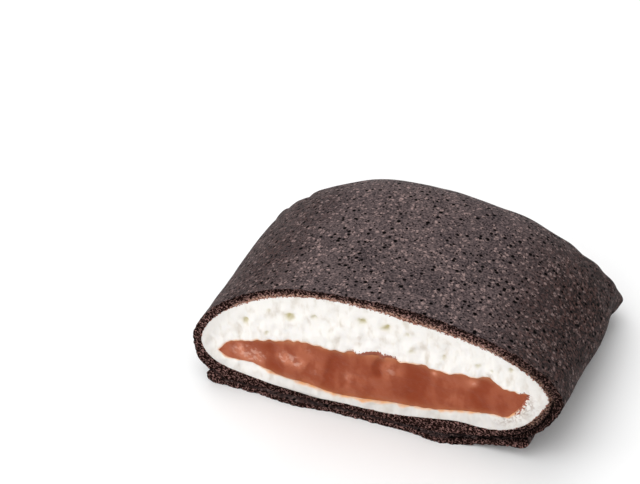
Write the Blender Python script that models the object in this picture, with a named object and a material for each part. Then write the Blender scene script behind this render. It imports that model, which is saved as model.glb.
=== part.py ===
"""Half of a folded cocoa crepe, cut across its middle: a dark crepe sheet round whipped cream and a chocolate core.

Metres, +Z up. The cut face looks along -Y and the closed end along +Y; X runs along the cut.
The crepe is one sheet: a tube round the cream, whose closed end is folded under and lies below it as a flap.
In the functions below, v is the share of the depth from the cut (0) to the closed end (1).
"""

import math

import bmesh
import bpy

MM = 0.001

# The whole half
HALF_WIDTH = 40.0 * MM
DEPTH = 55.0 * MM
TOP = 32.0 * MM
CROWN_X = -5.0 * MM  # the top is highest a little left of the middle

# The crepe sheet, and the layers pressed together below the filling
SHEET = 1.9 * MM
FLAP = 1.3 * MM
FLAP_LIP = 0.5 * MM  # the free edges of the flap stay this much thicker
LAYER_BOND = 0.15 * MM  # the tube sinks this far into the flap that it sticks to
LINING_FLOOR = 2.9 * MM
OVERLAP_RISE = 2.3 * MM  # the sheet overlaps itself under the right side of the filling
OVERLAP_EDGE = 0.6 * MM
OVERLAP_EDGE_X = 19.0 * MM

# Height of the widest point of each long side at the cut, and of the fold that closes the end
NOSE_LEFT = 11.0 * MM
NOSE_RIGHT = 17.0 * MM
NOSE_FALL = 0.8
FOLD_Z = 1.8 * MM
EAR_RISE = 2.2 * MM  # the two corners of the fold stand up

# Section curves: the two powers of a superellipse on either side of the crown
ARCH_LEFT = (2.0, 1.7)
ARCH_RIGHT = (2.9, 1.7)
ARCH_SAG = 0.5  # the right side slopes more towards the closed end
UNDER_LEFT = (11.0, 2.0)
UNDER_RIGHT = (7.0, 1.3)
LINING_UNDER_LEFT = (5.5, 2.0)
LINING_UNDER_RIGHT = (9.0, 1.0)

# The closed end
SHOULDER = 0.4  # share of the depth where the top starts to fall
END_POWER = 4.0
BOW = 4.0 * MM  # the end bulges this far past its corners
BOW_POWER = 4.0
PINCH = 0.8 * MM  # the long sides draw in just in front of the corners
PINCH_AT = 0.8
CORNER_ROUND = 1.4 * MM
FOLD_STEP = 0.86  # share of the depth where the underside comes down to the fold
FOLD_ROUND = 2.2 * MM
FOLD_CLEAR = 0.2 * MM  # the fold stands this far off the table
PLEATS = 5
PLEAT_DEPTH = 0.45 * MM

# The right side of the tube lifts off the flap, and the flap's right edge curls up
TUBE_LIFT = 1.6 * MM
TUBE_LIFT_START = 12.0 * MM
TUBE_LIFT_END = 36.0 * MM
CURL = 3.0 * MM
CURL_START = 17.0 * MM
FLAP_LEFT = -36.9 * MM
FLAP_RIGHT = 33.6 * MM
FLAP_END = 50.0 * MM
FLAP_SPREAD = 3.0 * MM  # the flap widens towards the fold

# Filling
FILL_GAP = 0.3 * MM
END_WALL = 3.2 * MM
END_TAPER = 7.0 * MM  # the filling narrows this much towards the corners
CORE_HALF = 33.3 * MM
CORE_X = -0.8 * MM
CORE_Z = 12.2 * MM
CORE_TILT = 0.09
CORE_HIGH = 6.0 * MM
CORE_DEPTH = 43.0 * MM
CORE_LEFT = (2.6, 1.5)
CORE_RIGHT = (3.4, 1.3)
CORE_STEPS = 20

# Air bubbles opened by the cut: place along X, height and radius
BUBBLES = (
    (-28.5 * MM, 20.5 * MM, 0.9 * MM),
    (-19.5 * MM, 24.0 * MM, 1.1 * MM),
    (-13.5 * MM, 25.5 * MM, 0.9 * MM),
    (-3.0 * MM, 26.8 * MM, 1.2 * MM),
    (2.5 * MM, 26.3 * MM, 1.0 * MM),
    (7.5 * MM, 25.6 * MM, 0.9 * MM),
    (18.0 * MM, 23.0 * MM, 1.0 * MM),
)

# The free inner end of the overlap shows as a slit at the right of the cut
SLIT_INSET = 1.2 * MM
SLIT_WIDTH = 0.35 * MM
SLIT_REACH = 2.6 * MM
SLIT_SHARE = 0.16  # share of the depth that it runs back
SLIT_CENTRE_X = 30.0 * MM  # its path is the outline drawn in towards this place, at the height of the side

CUT_AHEAD = 2.0 * MM  # cutters reach this far past the cut face
STRAIGHT = 0.02  # share of the depth over which the filling keeps its section
STEPS = 28  # points along each half of a section
LINING_STEPS = 27  # so that no point of the room falls on an edge of the outside


def smooth(t):
    """A soft step from 0 to 1."""
    t = min(1.0, max(0.0, t))
    return t * t * (3.0 - 2.0 * t)


def arc(t, powers):
    """A superellipse: 1 at t = 0, and 0 at t = 1 and beyond."""
    along, high = powers
    return max(0.0, 1.0 - abs(t) ** along) ** (1.0 / high)


def side(x, half, left, right):
    """The share of the way from the crown to a long side, and that side's curve."""
    if x < CROWN_X:
        return (CROWN_X - x) / (half + CROWN_X), left
    return (x - CROWN_X) / (half - CROWN_X), right


def crown(v):
    """Height of the top."""
    t = max(0.0, v - SHOULDER) / (1.0 - SHOULDER)
    return FOLD_Z + (TOP - FOLD_Z) * arc(t, (END_POWER, 2.0))


def ear(x):
    return EAR_RISE * abs(x / HALF_WIDTH) ** 6


def nose(x, v):
    """Height of the line where the upper and lower sides meet."""
    cut = NOSE_LEFT + (NOSE_RIGHT - NOSE_LEFT) * smooth((x + HALF_WIDTH) / (2.0 * HALF_WIDTH))
    return cut + (FOLD_Z + ear(x) - cut) * v**NOSE_FALL


def half_width(v):
    """Half the width, drawn in before the corners and rounded at them."""
    past = max(0.0, v * DEPTH - (DEPTH - CORNER_ROUND)) / CORNER_ROUND
    pinch = PINCH * math.exp(-(((v - PINCH_AT) / 0.12) ** 2))
    return HALF_WIDTH - pinch - CORNER_ROUND * (1.0 - math.sqrt(max(0.0, 1.0 - past * past)))


def bow(x, v):
    """How far the outline at v bends back towards the cut at x, as the middle of the end bulges."""
    return BOW * v**BOW_POWER * (x / HALF_WIDTH) ** 2


def arch_right(v):
    return (ARCH_RIGHT[0] - ARCH_SAG * v, ARCH_RIGHT[1])


def relief(x, v):
    """Soft unevenness of the top, and the pleats of the closed end."""
    wave = 0.22 * MM * math.sin(x / MM * 0.21 + 4.0 * v) + 0.18 * MM * math.sin(x / MM * 0.09 - 7.0 * v + 1.0)
    pleat = PLEAT_DEPTH * math.sin(PLEATS * math.pi * x / HALF_WIDTH + 0.6) * smooth((v - 0.78) / 0.15)
    return (wave * smooth((1.0 - v) / 0.3) + pleat) * (1.0 - (x / HALF_WIDTH) ** 4)


def outside_top(x, v):
    t, curve = side(x, half_width(v), ARCH_LEFT, arch_right(v))
    middle = nose(x, v)
    return middle + max(0.0, crown(v) - middle + relief(x, v)) * arc(t, curve)


def outside_floor(x, v):
    """Underside of the tube: on the flap, then down to the table where the end is folded under."""
    t, curve = side(x, half_width(v), UNDER_LEFT, UNDER_RIGHT)
    middle = nose(x, v)
    lift = TUBE_LIFT * smooth((x - TUBE_LIFT_START) / (TUBE_LIFT_END - TUBE_LIFT_START))
    on_flap = FLAP - LAYER_BOND + lift
    floor = on_flap + (FOLD_CLEAR + ear(x) - on_flap) * smooth((v - FOLD_STEP) / 0.08)
    past = max(0.0, v * DEPTH - (DEPTH - FOLD_ROUND)) / FOLD_ROUND
    floor += (middle - floor) * (1.0 - math.sqrt(max(0.0, 1.0 - past * past)))
    return middle - max(0.0, middle - floor) * arc(t, curve)


def lining_floor(x):
    """Top of the layers below the filling: they rise, with a soft edge, where the sheet overlaps itself."""
    edge = OVERLAP_EDGE * math.exp(-(((x - OVERLAP_EDGE_X) / (4.0 * MM)) ** 2))
    return LINING_FLOOR + OVERLAP_RISE * smooth((x - 4.0 * MM) / (14.0 * MM)) + edge


def lining_half(v, inset):
    return HALF_WIDTH - SHEET - inset * (1.0 + 2.0 * v) - END_TAPER * v**6


def lining_nose(x, v):
    return max(nose(x, v), lining_floor(x) + 1.0 * MM)


def lining_top(x, v, inset):
    """The crepe's roof from inside, or the top of the cream where inset is the gap between them."""
    t, curve = side(x, lining_half(v, inset), ARCH_LEFT, arch_right(v))
    middle = lining_nose(x, v)
    roof = crown(v) - SHEET - inset
    return middle + max(0.5 * MM, roof - middle) * arc(t, curve)


def lining_bottom(x, v, inset):
    t, curve = side(x, lining_half(v, inset), LINING_UNDER_LEFT, LINING_UNDER_RIGHT)
    middle = lining_nose(x, v)
    return middle - (middle - lining_floor(x) - inset) * arc(t, curve)


def section(left, right, back, upper, lower, steps=STEPS):
    """One closed loop across the piece: along the upper line to the right, back along the lower one."""
    middle, half = (left + right) / 2.0, (right - left) / 2.0
    xs = [middle - half * math.cos(math.pi * i / steps) for i in range(steps + 1)]
    over = [(x, back(x), upper(x)) for x in xs]
    under = [(x, back(x), lower(x)) for x in reversed(xs[1:-1])]
    return over + under


def cap(mesh, row):
    """Closes an end with strips from the upper to the lower line."""
    count = len(row)
    for i in range(count // 2):
        corners = [row[i], row[i + 1], row[(count - i - 1) % count], row[(count - i) % count]]
        mesh.faces.new(dict.fromkeys(corners))


def loft(name, loops):
    """A closed solid through loops of one number of points, which measure Y from the cut.

    Its quads are split alike in every solid, so that a gap between two of them stays even.
    """
    mesh = bmesh.new()
    rows = [[mesh.verts.new((x, y - DEPTH / 2.0, z)) for x, y, z in loop] for loop in loops]
    for near, far in zip(rows, rows[1:]):
        for i in range(len(near)):
            j = (i + 1) % len(near)
            mesh.faces.new((near[i], near[j], far[j]))
            mesh.faces.new((near[i], far[j], far[i]))
    cap(mesh, rows[0])
    cap(mesh, rows[-1])
    bmesh.ops.recalc_face_normals(mesh, faces=mesh.faces)
    return solid_of(name, mesh)


def solid_of(name, mesh):
    data = bpy.data.meshes.new(name)
    mesh.to_mesh(data)
    mesh.free()
    solid = bpy.data.objects.new(name, data)
    bpy.context.scene.collection.objects.link(solid)
    return solid


def shares(count, last=0.995):
    """Values of v that crowd together where the end falls steeply."""
    flat = [SHOULDER * i / 5 for i in range(5)]
    fall = [math.sin(math.radians(86.0 * i / count)) ** (2.0 / END_POWER) for i in range(count + 1)]
    return flat + [SHOULDER + (1.0 - SHOULDER) * t * last for t in fall]


def crepe_outside():
    """The tube with its closed end, solid inside."""
    loops = []
    for v in shares(13):
        half = half_width(v)
        loops.append(
            section(
                -half,
                half,
                lambda x, v=v: v * DEPTH - bow(x, v),
                lambda x, v=v: outside_top(x, v),
                lambda x, v=v: outside_floor(x, v),
            )
        )
    half, tip = half_width(1.0), 0.35 * MM
    loops.append(
        section(
            -half,
            half,
            lambda x: DEPTH - bow(x, 1.0),
            lambda x: nose(x, 1.0) + tip,
            lambda x: nose(x, 1.0) - tip,
        )
    )
    return loft("crepe", loops)


def flap():
    """The closed end folded under: one flat layer below the tube, its side edges rounded and curled."""
    loops = []
    stations = 7
    for i in range(stations):
        along = i / (stations - 1)
        wander = 0.5 * MM * math.sin(2.2 * i)
        left = FLAP_LEFT + wander - 0.7 * FLAP_SPREAD * along**3
        right = FLAP_RIGHT + 0.7 * wander + FLAP_SPREAD * along**3
        middle, half = (left + right) / 2.0, (right - left) / 2.0

        def line(x, sign, along=along, middle=middle, half=half):
            t = (x - middle) / half
            lip = FLAP_LIP * (1.0 + sign) * smooth((abs(t) - 0.85) / 0.12)
            lift = CURL * (1.0 - 0.6 * along) * smooth((x - CURL_START) / (FLAP_RIGHT - CURL_START))
            return lift + FLAP / 2.0 + sign * (FLAP + lip) / 2.0 * arc(t, (24.0, 2.0))

        loops.append(
            section(
                left,
                right,
                lambda x, back=FLAP_END * along: back,
                lambda x, line=line: line(x, 1.0),
                lambda x, line=line: line(x, -1.0),
            )
        )
    return loft("flap", loops)


def lining(name, inset, depth, ahead=0.0):
    """The room inside the crepe, which starts ahead of the cut, or the cream that fills it."""
    loops = []
    for v in [-ahead / depth, STRAIGHT] + shares(9, last=0.97)[1:]:
        shape = v if v > STRAIGHT else 0.0
        half = lining_half(shape, inset)
        loops.append(
            section(
                -half,
                half,
                lambda x, v=v, shape=shape: v * depth - bow(x, shape),
                lambda x, v=shape: lining_top(x, v, inset),
                lambda x, v=shape: lining_bottom(x, v, inset),
                LINING_STEPS,
            )
        )
    return loft(name, loops)


def core(name, swell, start):
    """The chocolate, tapering to a blunt end inside the cream, or its pocket where swell is the gap."""
    half = CORE_HALF + swell

    def line(x, sign, taper):
        t = (x - CORE_X) / half
        wave = 0.35 * MM * math.sin(x / MM * 0.32 + 1.3 * sign) + 0.25 * MM * math.sin(x / MM * 0.75 - sign)
        high = (CORE_HIGH + swell + wave * (1.0 - t * t)) * arc(t, CORE_LEFT if t < 0.0 else CORE_RIGHT)
        return CORE_Z + CORE_TILT * x + sign * high * taper

    loops = []
    count = 8
    for i in range(count + 1):
        angle = math.radians(84.0 * i / count)
        taper = math.sqrt(math.cos(angle))
        reach = half * (0.35 + 0.65 * taper)
        loops.append(
            section(
                CORE_X - reach,
                CORE_X + reach,
                lambda x, back=math.sin(angle) * (CORE_DEPTH + swell) if i else start: back,
                lambda x, taper=taper: line(x, 1.0, taper),
                lambda x, taper=taper: line(x, -1.0, taper),
                CORE_STEPS,
            )
        )
    return loft(name, loops)


def overlap_slit():
    """A thin gap between the two layers at the right side, which follows the side as it falls."""
    loops = []
    turns = 8
    for share in (-CUT_AHEAD / DEPTH, STRAIGHT, SLIT_SHARE / 2.0, SLIT_SHARE):
        v = share if share > STRAIGHT else 0.0
        centre_z = nose(HALF_WIDTH, v)
        rim = [half_width(v) - SLIT_REACH * (i / turns) ** 2 for i in range(3, turns + 1)]
        outline = []
        for inset, places in ((SLIT_INSET, rim), (SLIT_INSET + SLIT_WIDTH, rim[::-1])):
            for x in places:
                z = outside_floor(x, v)
                pull = inset / math.hypot(x - SLIT_CENTRE_X, z - centre_z)
                outline.append((x + (SLIT_CENTRE_X - x) * pull, share * DEPTH, z + (centre_z - z) * pull))
        loops.append(outline)
    return loft("slit", loops)


def bubbles():
    """Small round dents for the face of the cream."""
    mesh = bmesh.new()
    for x, z, radius in BUBBLES:
        made = bmesh.ops.create_icosphere(mesh, subdivisions=2, radius=radius)
        bmesh.ops.translate(mesh, verts=made["verts"], vec=(x, -DEPTH / 2.0 - 0.35 * radius, z))
    return solid_of("bubbles", mesh)


def material(name, colour, roughness, coat=0.0):
    shade = bpy.data.materials.new(name)
    shade.use_nodes = True
    principled = shade.node_tree.nodes["Principled BSDF"]
    principled.inputs["Base Color"].default_value = (*colour, 1.0)
    principled.inputs["Roughness"].default_value = roughness
    principled.inputs["Coat Weight"].default_value = coat
    shade.diffuse_color = (*colour, 1.0)
    return shade


def combine(target, other, operation):
    """Adds a Boolean with another solid, which is then only a helper."""
    boolean = target.modifiers.new(other.name, "BOOLEAN")
    boolean.operation = operation
    boolean.object = other
    boolean.solver = "EXACT"
    other.hide_render = True
    other.display_type = "WIRE"


def finish(solid, shade):
    solid.data.materials.append(shade)
    solid.data.shade_smooth()
    solid.data.set_sharp_from_angle(angle=math.radians(40.0))


def main():
    for thing in list(bpy.data.objects):
        bpy.data.objects.remove(thing)

    crepe = crepe_outside()
    combine(crepe, flap(), "UNION")
    combine(crepe, lining("room", 0.0, DEPTH - END_WALL, CUT_AHEAD), "DIFFERENCE")
    combine(crepe, overlap_slit(), "DIFFERENCE")
    finish(crepe, material("crepe", (0.045, 0.032, 0.030), 0.55))

    cream = lining("whipped_cream", FILL_GAP, DEPTH - END_WALL - FILL_GAP)
    combine(cream, core("pocket", FILL_GAP, -CUT_AHEAD), "DIFFERENCE")
    combine(cream, bubbles(), "DIFFERENCE")
    finish(cream, material("whipped_cream", (0.86, 0.84, 0.80), 0.6))

    finish(core("chocolate_cream", 0.0, 0.0), material("chocolate_cream", (0.36, 0.12, 0.06), 0.35, 0.2))


main()
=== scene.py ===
import math

import bmesh
import bpy
import numpy as np
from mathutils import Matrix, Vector, noise


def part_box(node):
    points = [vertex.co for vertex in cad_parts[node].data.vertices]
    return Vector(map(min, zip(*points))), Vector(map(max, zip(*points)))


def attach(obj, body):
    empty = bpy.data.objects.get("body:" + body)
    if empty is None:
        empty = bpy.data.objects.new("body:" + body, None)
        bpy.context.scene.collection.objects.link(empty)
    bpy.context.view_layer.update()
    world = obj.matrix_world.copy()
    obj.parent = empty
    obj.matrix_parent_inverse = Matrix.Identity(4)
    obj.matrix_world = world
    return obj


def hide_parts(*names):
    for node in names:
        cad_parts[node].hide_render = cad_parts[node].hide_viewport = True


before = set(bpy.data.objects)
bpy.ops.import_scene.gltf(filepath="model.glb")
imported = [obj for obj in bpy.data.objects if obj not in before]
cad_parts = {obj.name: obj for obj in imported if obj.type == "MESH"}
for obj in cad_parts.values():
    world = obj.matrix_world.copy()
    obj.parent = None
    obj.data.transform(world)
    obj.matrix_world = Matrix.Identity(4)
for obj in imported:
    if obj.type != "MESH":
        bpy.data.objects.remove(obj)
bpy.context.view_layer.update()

# The crepe's tube
# A sheet of dark cocoa crepe, rolled round the filling, which overlaps itself at the lower right.
# Its far end is pressed flat with two pointed ears, and its cut rim is spongy, with a smear of cream inside.

MM = 0.001
CUT_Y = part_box("crepe")[0].y
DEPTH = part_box("crepe")[1].y - CUT_Y
HALF_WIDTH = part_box("crepe")[1].x

# The skin. Each arch has a pair of powers, and each reach is the start and the length of a soft step.
TOP = 32.0 * MM
CROWN_X = -5.0 * MM
ARCH_LEFT = (2.0, 1.7)
ARCH_RIGHT = (2.9, 1.7)
ARCH_SAG = 0.5
UNDER_LEFT = (11.0, 2.0)
UNDER_RIGHT = (7.0, 1.3)
NOSE_LEFT = 11.0 * MM
NOSE_RIGHT = 17.0 * MM
NOSE_FALL = 0.8
SHOULDER = 0.4
END_POWER = 4.0
BOW = 4.0 * MM
BOW_POWER = 4.0
PINCH = 0.8 * MM
PINCH_AT = 0.8
PINCH_WIDTH = 0.12
CORNER_ROUND = 2.6 * MM
FOLD_Z = 1.8 * MM
FOLD_HALF = 0.35 * MM
FOLD_ROUND = 2.2 * MM
FOLD_CLEAR = 0.2 * MM
FOLD_REACH = (0.86, 0.08)
EAR_RISE = 3.0 * MM
EAR_POWER = 6
EAR_PUFF = 0.5 * MM
EAR_SIDE_REACH = (0.86, 0.1)
EAR_BACK_REACH = (0.6, 0.3)
PLEATS = 5
PLEAT_DEPTH = 0.45 * MM
PLEAT_PHASE = 0.6
PLEAT_REACH = (0.78, 0.15)
FLAP = 1.3 * MM
LAYER_BOND = 0.15 * MM
TUBE_LIFT = 1.6 * MM
TUBE_LIFT_REACH = (12.0 * MM, 24.0 * MM)

# Waves of the top: height, radians per millimetre across and over the whole depth, and phase.
TOP_WAVES = ((0.22 * MM, 0.21, 4.0, 0.0), (0.18 * MM, 0.09, -7.0, 1.0))
TOP_WAVE_REACH = (1.0, -0.3)

# The hollow for the filling, one sheet further in.
SHEET = 1.9 * MM
RIM_LEFT = 0.5 * MM
RIM_LEFT_REACH = (-20.0 * MM, -10.0 * MM)
RIM_RIGHT = 0.65 * MM
RIM_RIGHT_REACH = (0.0, 8.0 * MM)
LINING_FLOOR = 2.9 * MM
LINING_NOSE = 1.0 * MM
LINING_RISE = 0.5 * MM
LINING_SHORT = 1.1 * MM
LINING_UNDER_LEFT = (5.5, 2.0)
LINING_UNDER_RIGHT = (9.0, 1.0)
LINING_SHARES = (0.98, 0.9, 0.75, 0.5, 0.25, 0.08, 0.015)
OVERLAP_RISE = 2.3 * MM
OVERLAP_REACH = (4.0 * MM, 14.0 * MM)
END_WALL = 3.2 * MM
END_TAPER = 7.0 * MM
END_TAPER_POWER = 6

# Thick and thin places of the sheet under the filling: place, width and height in millimetres.
FLOOR_HILLS = ((19.0, 4.0, 0.6), (-29.0, 6.0, 0.6), (8.0, 6.0, 0.5), (-13.0, 3.0, -0.35))

# Rows and columns of the mesh, and how the rows of the skin lie from the cut to the closed end.
AROUND = 300
SKIN_ROWS = 104
RIM_ROWS = 16
FIRST_SHARE = 0.004
LAST_SHARE = 0.995
LAST_FALL = math.radians(86.0)
SEAM = 0.002 * MM

# Creases of the skin near its closed end, seen from above: stations and depth in millimetres.
CREASES = (
    (((36.0, 25.5), (29.0, 17.0), (20.0, 11.0)), 0.3),
    (((33.0, 27.0), (22.0, 23.5), (8.0, 21.0)), 0.6),
    (((33.5, 26.0), (36.2, 20.5), (38.6, 15.0)), 0.2),
    (((-37.5, 25.0), (-30.0, 15.5), (-23.0, 7.0)), 0.5),
    (((-34.0, 27.0), (-24.0, 22.0), (-11.0, 20.0)), 0.6),
    (((-34.0, 25.5), (-36.4, 20.0), (-38.5, 14.0)), 0.3),
    (((-6.0, 27.0), (-3.0, 22.0), (4.0, 17.5)), 0.5),
)
CREASE_WIDTH = 1.1 * MM
CREASE_LIP = 0.4
CREASE_Y_REACH = (4.0 * MM, 9.0 * MM)
CREASE_LOW_REACH = (1.5 * MM, 2.5 * MM)
CREASE_HIGH_REACH = (26.0 * MM, -8.0 * MM)

# The right side bulges behind the cut. The skin is softly uneven, and ragged where the knife went through it.
BACK_PUFF = 1.3 * MM
BACK_PUFF_X = 37.0 * MM
BACK_PUFF_WIDTH = 17.0 * MM
BACK_PUFF_Z_REACH = (7.0 * MM, 5.0 * MM)
BACK_PUFF_NEAR_REACH = (0.3, 0.35)
BACK_PUFF_FAR_REACH = (1.0, -0.2)
SKIN_WAVE = 0.1 * MM
SKIN_WAVE_SIZE = 5.0 * MM
SKIN_WAVE_FADE = 4.0 * MM
RAGGED = 0.14 * MM
RAGGED_SIZE = 0.9 * MM
RAGGED_REACH = 1.5 * MM

# The cut crumb. The slit is where the overlap stands open, and the wedge lies between the tube and the flap,
# both as stations in millimetres.
CRUMB_PIT = 0.28 * MM
CRUMB_PIT_SIZE = 0.75 * MM
CRUMB_LUMP = 0.14 * MM
CRUMB_LUMP_SIZE = 1.6 * MM
SLIT = (
    (37.7, 17.1), (37.7, 15.7), (37.4, 13.7), (36.7, 12.2), (35.8, 10.2), (34.4, 8.5),
    (32.6, 6.8), (30.6, 5.4), (27.5, 4.0), (24.4, 2.9), (21.6, 2.4),
)
SLIT_WIDTH = 0.3 * MM
SLIT_DEPTH = 1.0 * MM
WEDGE = ((17.0, 1.3), (21.2, 2.0), (24.3, 2.6), (27.4, 3.5), (30.5, 4.4), (33.0, 5.3))
WEDGE_WIDTH = 0.45 * MM

# The gain brings raw noise to about -1 to 1, and the slope is how steeply a pit rises to its walls.
NOISE_GAIN = 1.6
PIT_SLOPE = 1.6
TINY = 1e-12


def step(x, start, length):
    """A soft step, from 0 at its start to 1 after its length. A negative length runs the other way."""
    t = np.clip((x - start) / length, 0.0, 1.0)
    return t * t * (3.0 - 2.0 * t)


def fade(away, width):
    """1 where the distance is 0, and nearly 0 beyond twice the width."""
    return np.exp(-((away / width) ** 2))


def hill(x, middle, width):
    """A soft hill with that middle, 1 high."""
    return fade(x - middle, width)


def hills(x, stations):
    """The sum of hills that are given by place, width and height in millimetres."""
    return sum(high * MM * hill(x, middle * MM, width * MM) for middle, width, high in stations)


def arc(t, powers):
    """A superellipse: 1 at t = 0, and 0 at t = 1 and beyond."""
    along, high = powers
    return np.maximum(0.0, 1.0 - np.abs(t) ** along) ** (1.0 / high)


def arch(x, half, left, right, short=0.0):
    """The arch of a section, with its own powers on each side of the crown."""
    left_side = arc((CROWN_X - x) / (half + CROWN_X), left)
    right_side = arc((x - CROWN_X) / (half - short - CROWN_X), right)
    return np.where(x < CROWN_X, left_side, right_side)


def crown(v):
    """Height of the top at v, the share of the depth from the cut to the closed end."""
    t = max(0.0, v - SHOULDER) / (1.0 - SHOULDER)
    return FOLD_Z + (TOP - FOLD_Z) * arc(t, (END_POWER, 2.0))


def ear(x):
    """How far the closed end lifts towards its two corners."""
    return EAR_RISE * np.abs(x / HALF_WIDTH) ** EAR_POWER


def nose(x, v):
    """Height of the line where the upper and the lower side meet."""
    cut = NOSE_LEFT + (NOSE_RIGHT - NOSE_LEFT) * step(x, -HALF_WIDTH, 2.0 * HALF_WIDTH)
    return cut + (FOLD_Z + ear(x) - cut) * v**NOSE_FALL


def end_round(v, radius):
    """How far a rounding of that radius at the closed end has drawn in, from 0 to 1."""
    past = max(0.0, v * DEPTH - (DEPTH - radius)) / radius
    return 1.0 - math.sqrt(max(0.0, 1.0 - past * past))


def half_width(v):
    return HALF_WIDTH - PINCH * hill(v, PINCH_AT, PINCH_WIDTH) - CORNER_ROUND * end_round(v, CORNER_ROUND)


def bow(x, v):
    """How far the sides lag behind the middle, as the closed end bulges."""
    return BOW * v**BOW_POWER * (x / HALF_WIDTH) ** 2


def arch_right(v):
    return (ARCH_RIGHT[0] - ARCH_SAG * v, ARCH_RIGHT[1])


def swell(x, v):
    """Soft unevenness of the top, and the pleats of the closed end."""
    wave = sum(high * np.sin(x / MM * across + along * v + phase) for high, across, along, phase in TOP_WAVES)
    pleat = PLEAT_DEPTH * np.sin(PLEATS * math.pi * x / HALF_WIDTH + PLEAT_PHASE) * step(v, *PLEAT_REACH)
    return (wave * step(v, *TOP_WAVE_REACH) + pleat) * (1.0 - (x / HALF_WIDTH) ** 4)


def skin_top(x, v):
    middle = nose(x, v)
    rise = np.maximum(0.0, crown(v) - middle + swell(x, v))
    return middle + rise * arch(x, half_width(v), ARCH_LEFT, arch_right(v))


def skin_floor(x, v):
    """Underside of the tube: it lies on the flap, and on the table where the end is folded."""
    middle = nose(x, v)
    on_flap = FLAP - LAYER_BOND + TUBE_LIFT * step(x, *TUBE_LIFT_REACH)
    floor = on_flap + (FOLD_CLEAR + ear(x) - on_flap) * step(v, *FOLD_REACH)
    floor = floor + (middle - floor) * end_round(v, FOLD_ROUND)
    return middle - np.maximum(0.0, middle - floor) * arch(x, half_width(v), UNDER_LEFT, UNDER_RIGHT)


def lining_floor(x):
    """Top of the layer that the filling lies on, with the overlap and the sheet's thick and thin places."""
    return LINING_FLOOR + OVERLAP_RISE * step(x, *OVERLAP_REACH) + hills(x, FLOOR_HILLS)


def lining_half(v):
    return HALF_WIDTH - SHEET - END_TAPER * v**END_TAPER_POWER


def lining_nose(x, v):
    return np.maximum(nose(x, v), lining_floor(x) + LINING_NOSE)


def lining_top(x, v):
    middle = lining_nose(x, v)
    thick = RIM_LEFT * step(x, *RIM_LEFT_REACH) + RIM_RIGHT * step(x, *RIM_RIGHT_REACH)
    rise = np.maximum(LINING_RISE, crown(v) - SHEET - middle - thick)
    return middle + rise * arch(x, lining_half(v), ARCH_LEFT, arch_right(v), LINING_SHORT)


def lining_bottom(x, v):
    middle = lining_nose(x, v)
    under = arch(x, lining_half(v), LINING_UNDER_LEFT, LINING_UNDER_RIGHT, LINING_SHORT)
    return middle - (middle - lining_floor(x)) * under


def ring(left, right, y, upper, lower):
    """A closed loop across the piece: over the upper line to the right, and back along the lower one."""
    middle, half = (left + right) / 2.0, (right - left) / 2.0
    over = middle - half * np.cos(np.linspace(0.0, math.pi, AROUND + 1))
    x = np.concatenate([over, over[-2::-1]])
    z = np.concatenate([upper(over), lower(over)[-2::-1]])
    return np.stack([x, CUT_Y + y(x), z], axis=1)


def section(left, right, v, deep, upper, lower):
    """A ring at v, whose upper and lower lines depend on x and v."""
    return ring(left, right, lambda x: v * deep - bow(x, v), lambda x: upper(x, v), lambda x: lower(x, v))


def skin_ring(v):
    return section(-half_width(v), half_width(v), v, DEPTH, skin_top, skin_floor)


def lining_ring(v):
    half = lining_half(v)
    return section(-half, half - LINING_SHORT, v, DEPTH - END_WALL, lining_top, lining_bottom)


def pressed_half(x):
    """Half the height of the closed end's last ring, which is puffed at the ears."""
    return FOLD_HALF + EAR_PUFF * step(np.abs(x) / HALF_WIDTH, *EAR_SIDE_REACH)


def pressed_upper(x, v):
    return nose(x, v) + pressed_half(x)


def pressed_lower(x, v):
    return nose(x, v) - pressed_half(x)


def between(near, far, count):
    """Rings evenly from one to another, with both of them."""
    return np.array([near + (far - near) * i / (count - 1) for i in range(count)])


def middle_line(row):
    """A ring pressed flat onto the line half-way between its upper and its lower side."""
    flat = row.copy()
    flat[:, 1:] = (row[:, 1:] + row[::-1, 1:]) / 2.0
    return flat


def onwards(rows):
    """The direction along each ring at each of its points."""
    around = np.roll(rows[:, :-1], -1, axis=1) - np.roll(rows[:, :-1], 1, axis=1)
    return np.concatenate([around, around[:, :1]], axis=1)


def unit(directions):
    return directions / np.maximum(np.linalg.norm(directions, axis=2, keepdims=True), TINY)


def outwards(rows):
    """The direction straight out of the surface at each point of its rings."""
    return unit(np.cross(onwards(rows), np.gradient(rows, axis=0)))


def lumps(points, size, seed=0.0):
    """Smooth noise from about -1 to 1 at each point, with lumps of about that size."""
    flat = points.reshape(-1, 3) / size + seed
    return np.array([NOISE_GAIN * noise.noise(Vector(p)) for p in flat]).reshape(points.shape[:-1])


def pits(points, size):
    """Round pits at each point: 0 on the walls between them, and 1 at the bottom."""
    flat = points.reshape(-1, 3) / size
    deep = [max(0.0, 1.0 - PIT_SLOPE * noise.voronoi(Vector(p))[0][0]) for p in flat]
    return np.array(deep).reshape(points.shape[:-1])


def crumb_relief(rim, slit):
    """How far the cut crumb lies behind the knife's cut, with its pits, its lumps and its slits."""
    rough = CRUMB_PIT * pits(rim, CRUMB_PIT_SIZE) + CRUMB_LUMP * lumps(rim, CRUMB_LUMP_SIZE)
    return rough + SLIT_DEPTH * slit


def near_line(points, line, axes=(0, 2)):
    """Distance from each point to a line of stations in millimetres, seen from the front or from above."""
    at = points[..., list(axes)]
    nearest = np.full(points.shape[:-1], np.inf)
    for start, end in zip(line[:-1], line[1:]):
        start, end = np.array(start) * MM, np.array(end) * MM
        share = np.clip(((at - start) @ (end - start)) / ((end - start) @ (end - start)), 0.0, 1.0)
        nearest = np.minimum(nearest, np.linalg.norm(at - start - share[..., None] * (end - start), axis=-1))
    return nearest


def spot(points, x, z, size):
    """A round soft spot, seen from the front, with its place and size in millimetres."""
    return fade(np.hypot(points[..., 0] - x * MM, points[..., 2] - z * MM), size * MM)


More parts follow.
